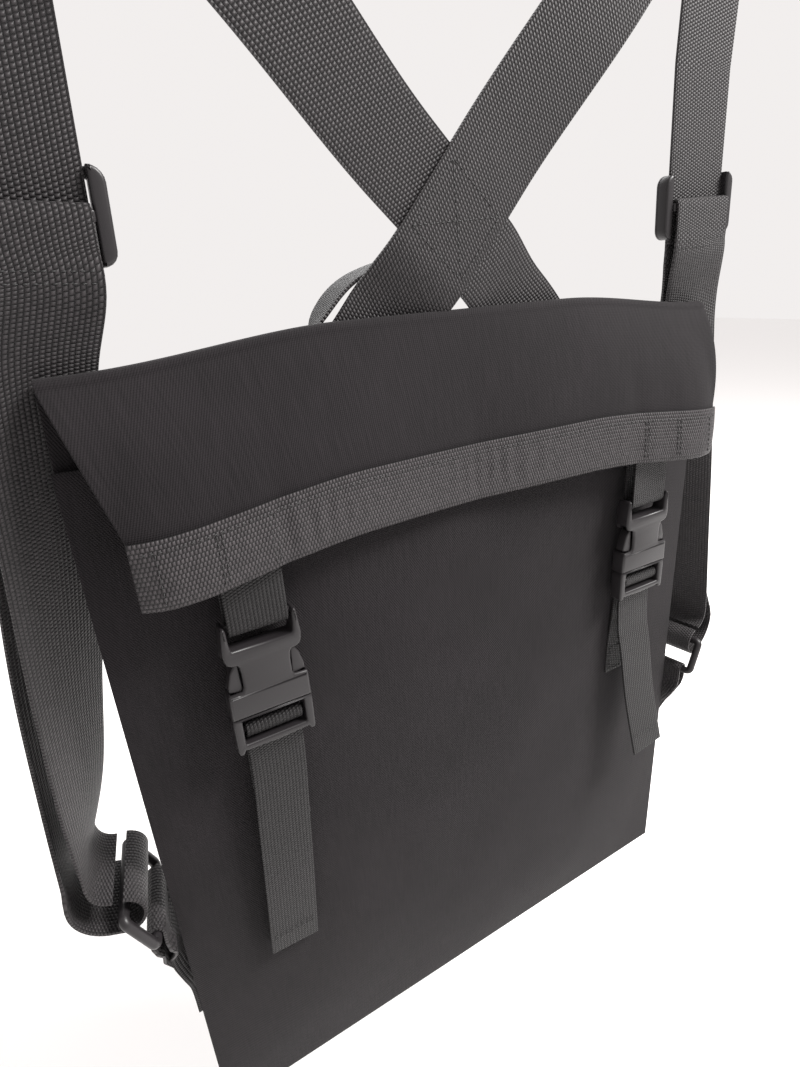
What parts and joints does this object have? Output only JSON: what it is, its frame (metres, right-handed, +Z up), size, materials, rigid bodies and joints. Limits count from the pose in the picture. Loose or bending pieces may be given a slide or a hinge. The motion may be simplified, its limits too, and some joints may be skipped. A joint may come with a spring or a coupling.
{
  "type": "fold-over harness bag",
  "caption": "Flat canvas bag with a webbing-hemmed fold-over flap, side-release buckles, crossed webbing shoulder straps, sliding strap adjusters and corner rings.",
  "frame": {"origin": "middle of the line between the two points that the shoulder strap loops hang on", "axes": "+X to the right as seen from the front, +Y from the front panel towards the wearer's back, +Z up"},
  "size_m": [0.4198, 0.0763, 0.6324],
  "materials": {
    "canvas": "matt",
    "webbing": "matt",
    "lining": "matt",
    "thread": "matt",
    "plastic": "satin"
  },
  "bodies": {
    "bag_body": {"front_panel": "canvas", "back_panel": "canvas", "lining": "lining", "mouth_binding": "webbing", "strap_patch": "webbing", "grab_handle": "webbing", "cross_stitching": "thread", "left_shoulder_strap": "webbing", "right_shoulder_strap": "webbing", "left_ring_tab": "webbing", "right_ring_tab": "webbing", "left_anchor_strap": "webbing", "right_anchor_strap": "webbing"},
    "flap_body": {"flap": "canvas", "flap_hem": "webbing"},
    "left_socket_body": {"left_buckle_strap": "webbing", "left_buckle_socket": "plastic"},
    "left_plug_body": {"left_buckle_plug": "plastic", "left_buckle_tail": "webbing"},
    "left_slider_body": {"left_slider": "plastic", "left_strap_return": "webbing"},
    "left_ring_body": {"left_ring": "plastic"},
    "right_socket_body": {"right_buckle_strap": "webbing", "right_buckle_socket": "plastic"},
    "right_plug_body": {"right_buckle_plug": "plastic", "right_buckle_tail": "webbing"},
    "right_slider_body": {"right_slider": "plastic", "right_strap_return": "webbing"},
    "right_ring_body": {"right_ring": "plastic"}
  },
  "joints": [
    {"name": "flap_hinge", "type": "hinge", "parent": "bag_body", "child": "flap_body", "pos_m": [0, 0.0044, -0.20258], "axis": [-1, 0, 0], "range_deg": [0, 120]},
    {"name": "left_socket_swing", "type": "hinge", "parent": "flap_body", "child": "left_socket_body", "pos_m": [-0.113, -0.01374, -0.28138], "axis": [-1, 0, 0], "range_deg": [0, 35]},
    {"name": "left_plug_release", "type": "slide", "parent": "left_socket_body", "child": "left_plug_body", "axis": [0, 0, -1], "range_m": [0, 0.03]},
    {"name": "left_slider_slide", "type": "slide", "parent": "bag_body", "child": "left_slider_body", "axis": [0.0479, 0, 0.9988], "range_m": [-0.004, 0.04], "deforming": ["left_strap_return"]},
    {"name": "left_ring_swing", "type": "hinge", "parent": "bag_body", "child": "left_ring_body", "pos_m": [-0.1765, 0.01233, -0.44416], "axis": [0.1736, 0.9848, 0], "range_deg": [0, 10]},
    {"name": "right_socket_swing", "type": "hinge", "parent": "flap_body", "child": "right_socket_body", "pos_m": [0.113, -0.01374, -0.28138], "axis": [-1, 0, 0], "range_deg": [0, 35]},
    {"name": "right_plug_release", "type": "slide", "parent": "right_socket_body", "child": "right_plug_body", "axis": [0, 0, -1], "range_m": [0, 0.03]},
    {"name": "right_slider_slide", "type": "slide", "parent": "bag_body", "child": "right_slider_body", "axis": [-0.0479, 0, 0.9988], "range_m": [-0.004, 0.04], "deforming": ["right_strap_return"]},
    {"name": "right_ring_swing", "type": "hinge", "parent": "bag_body", "child": "right_ring_body", "pos_m": [0.1765, 0.01233, -0.44416], "axis": [0.1736, -0.9848, 0], "range_deg": [0, 10]}
  ]
}
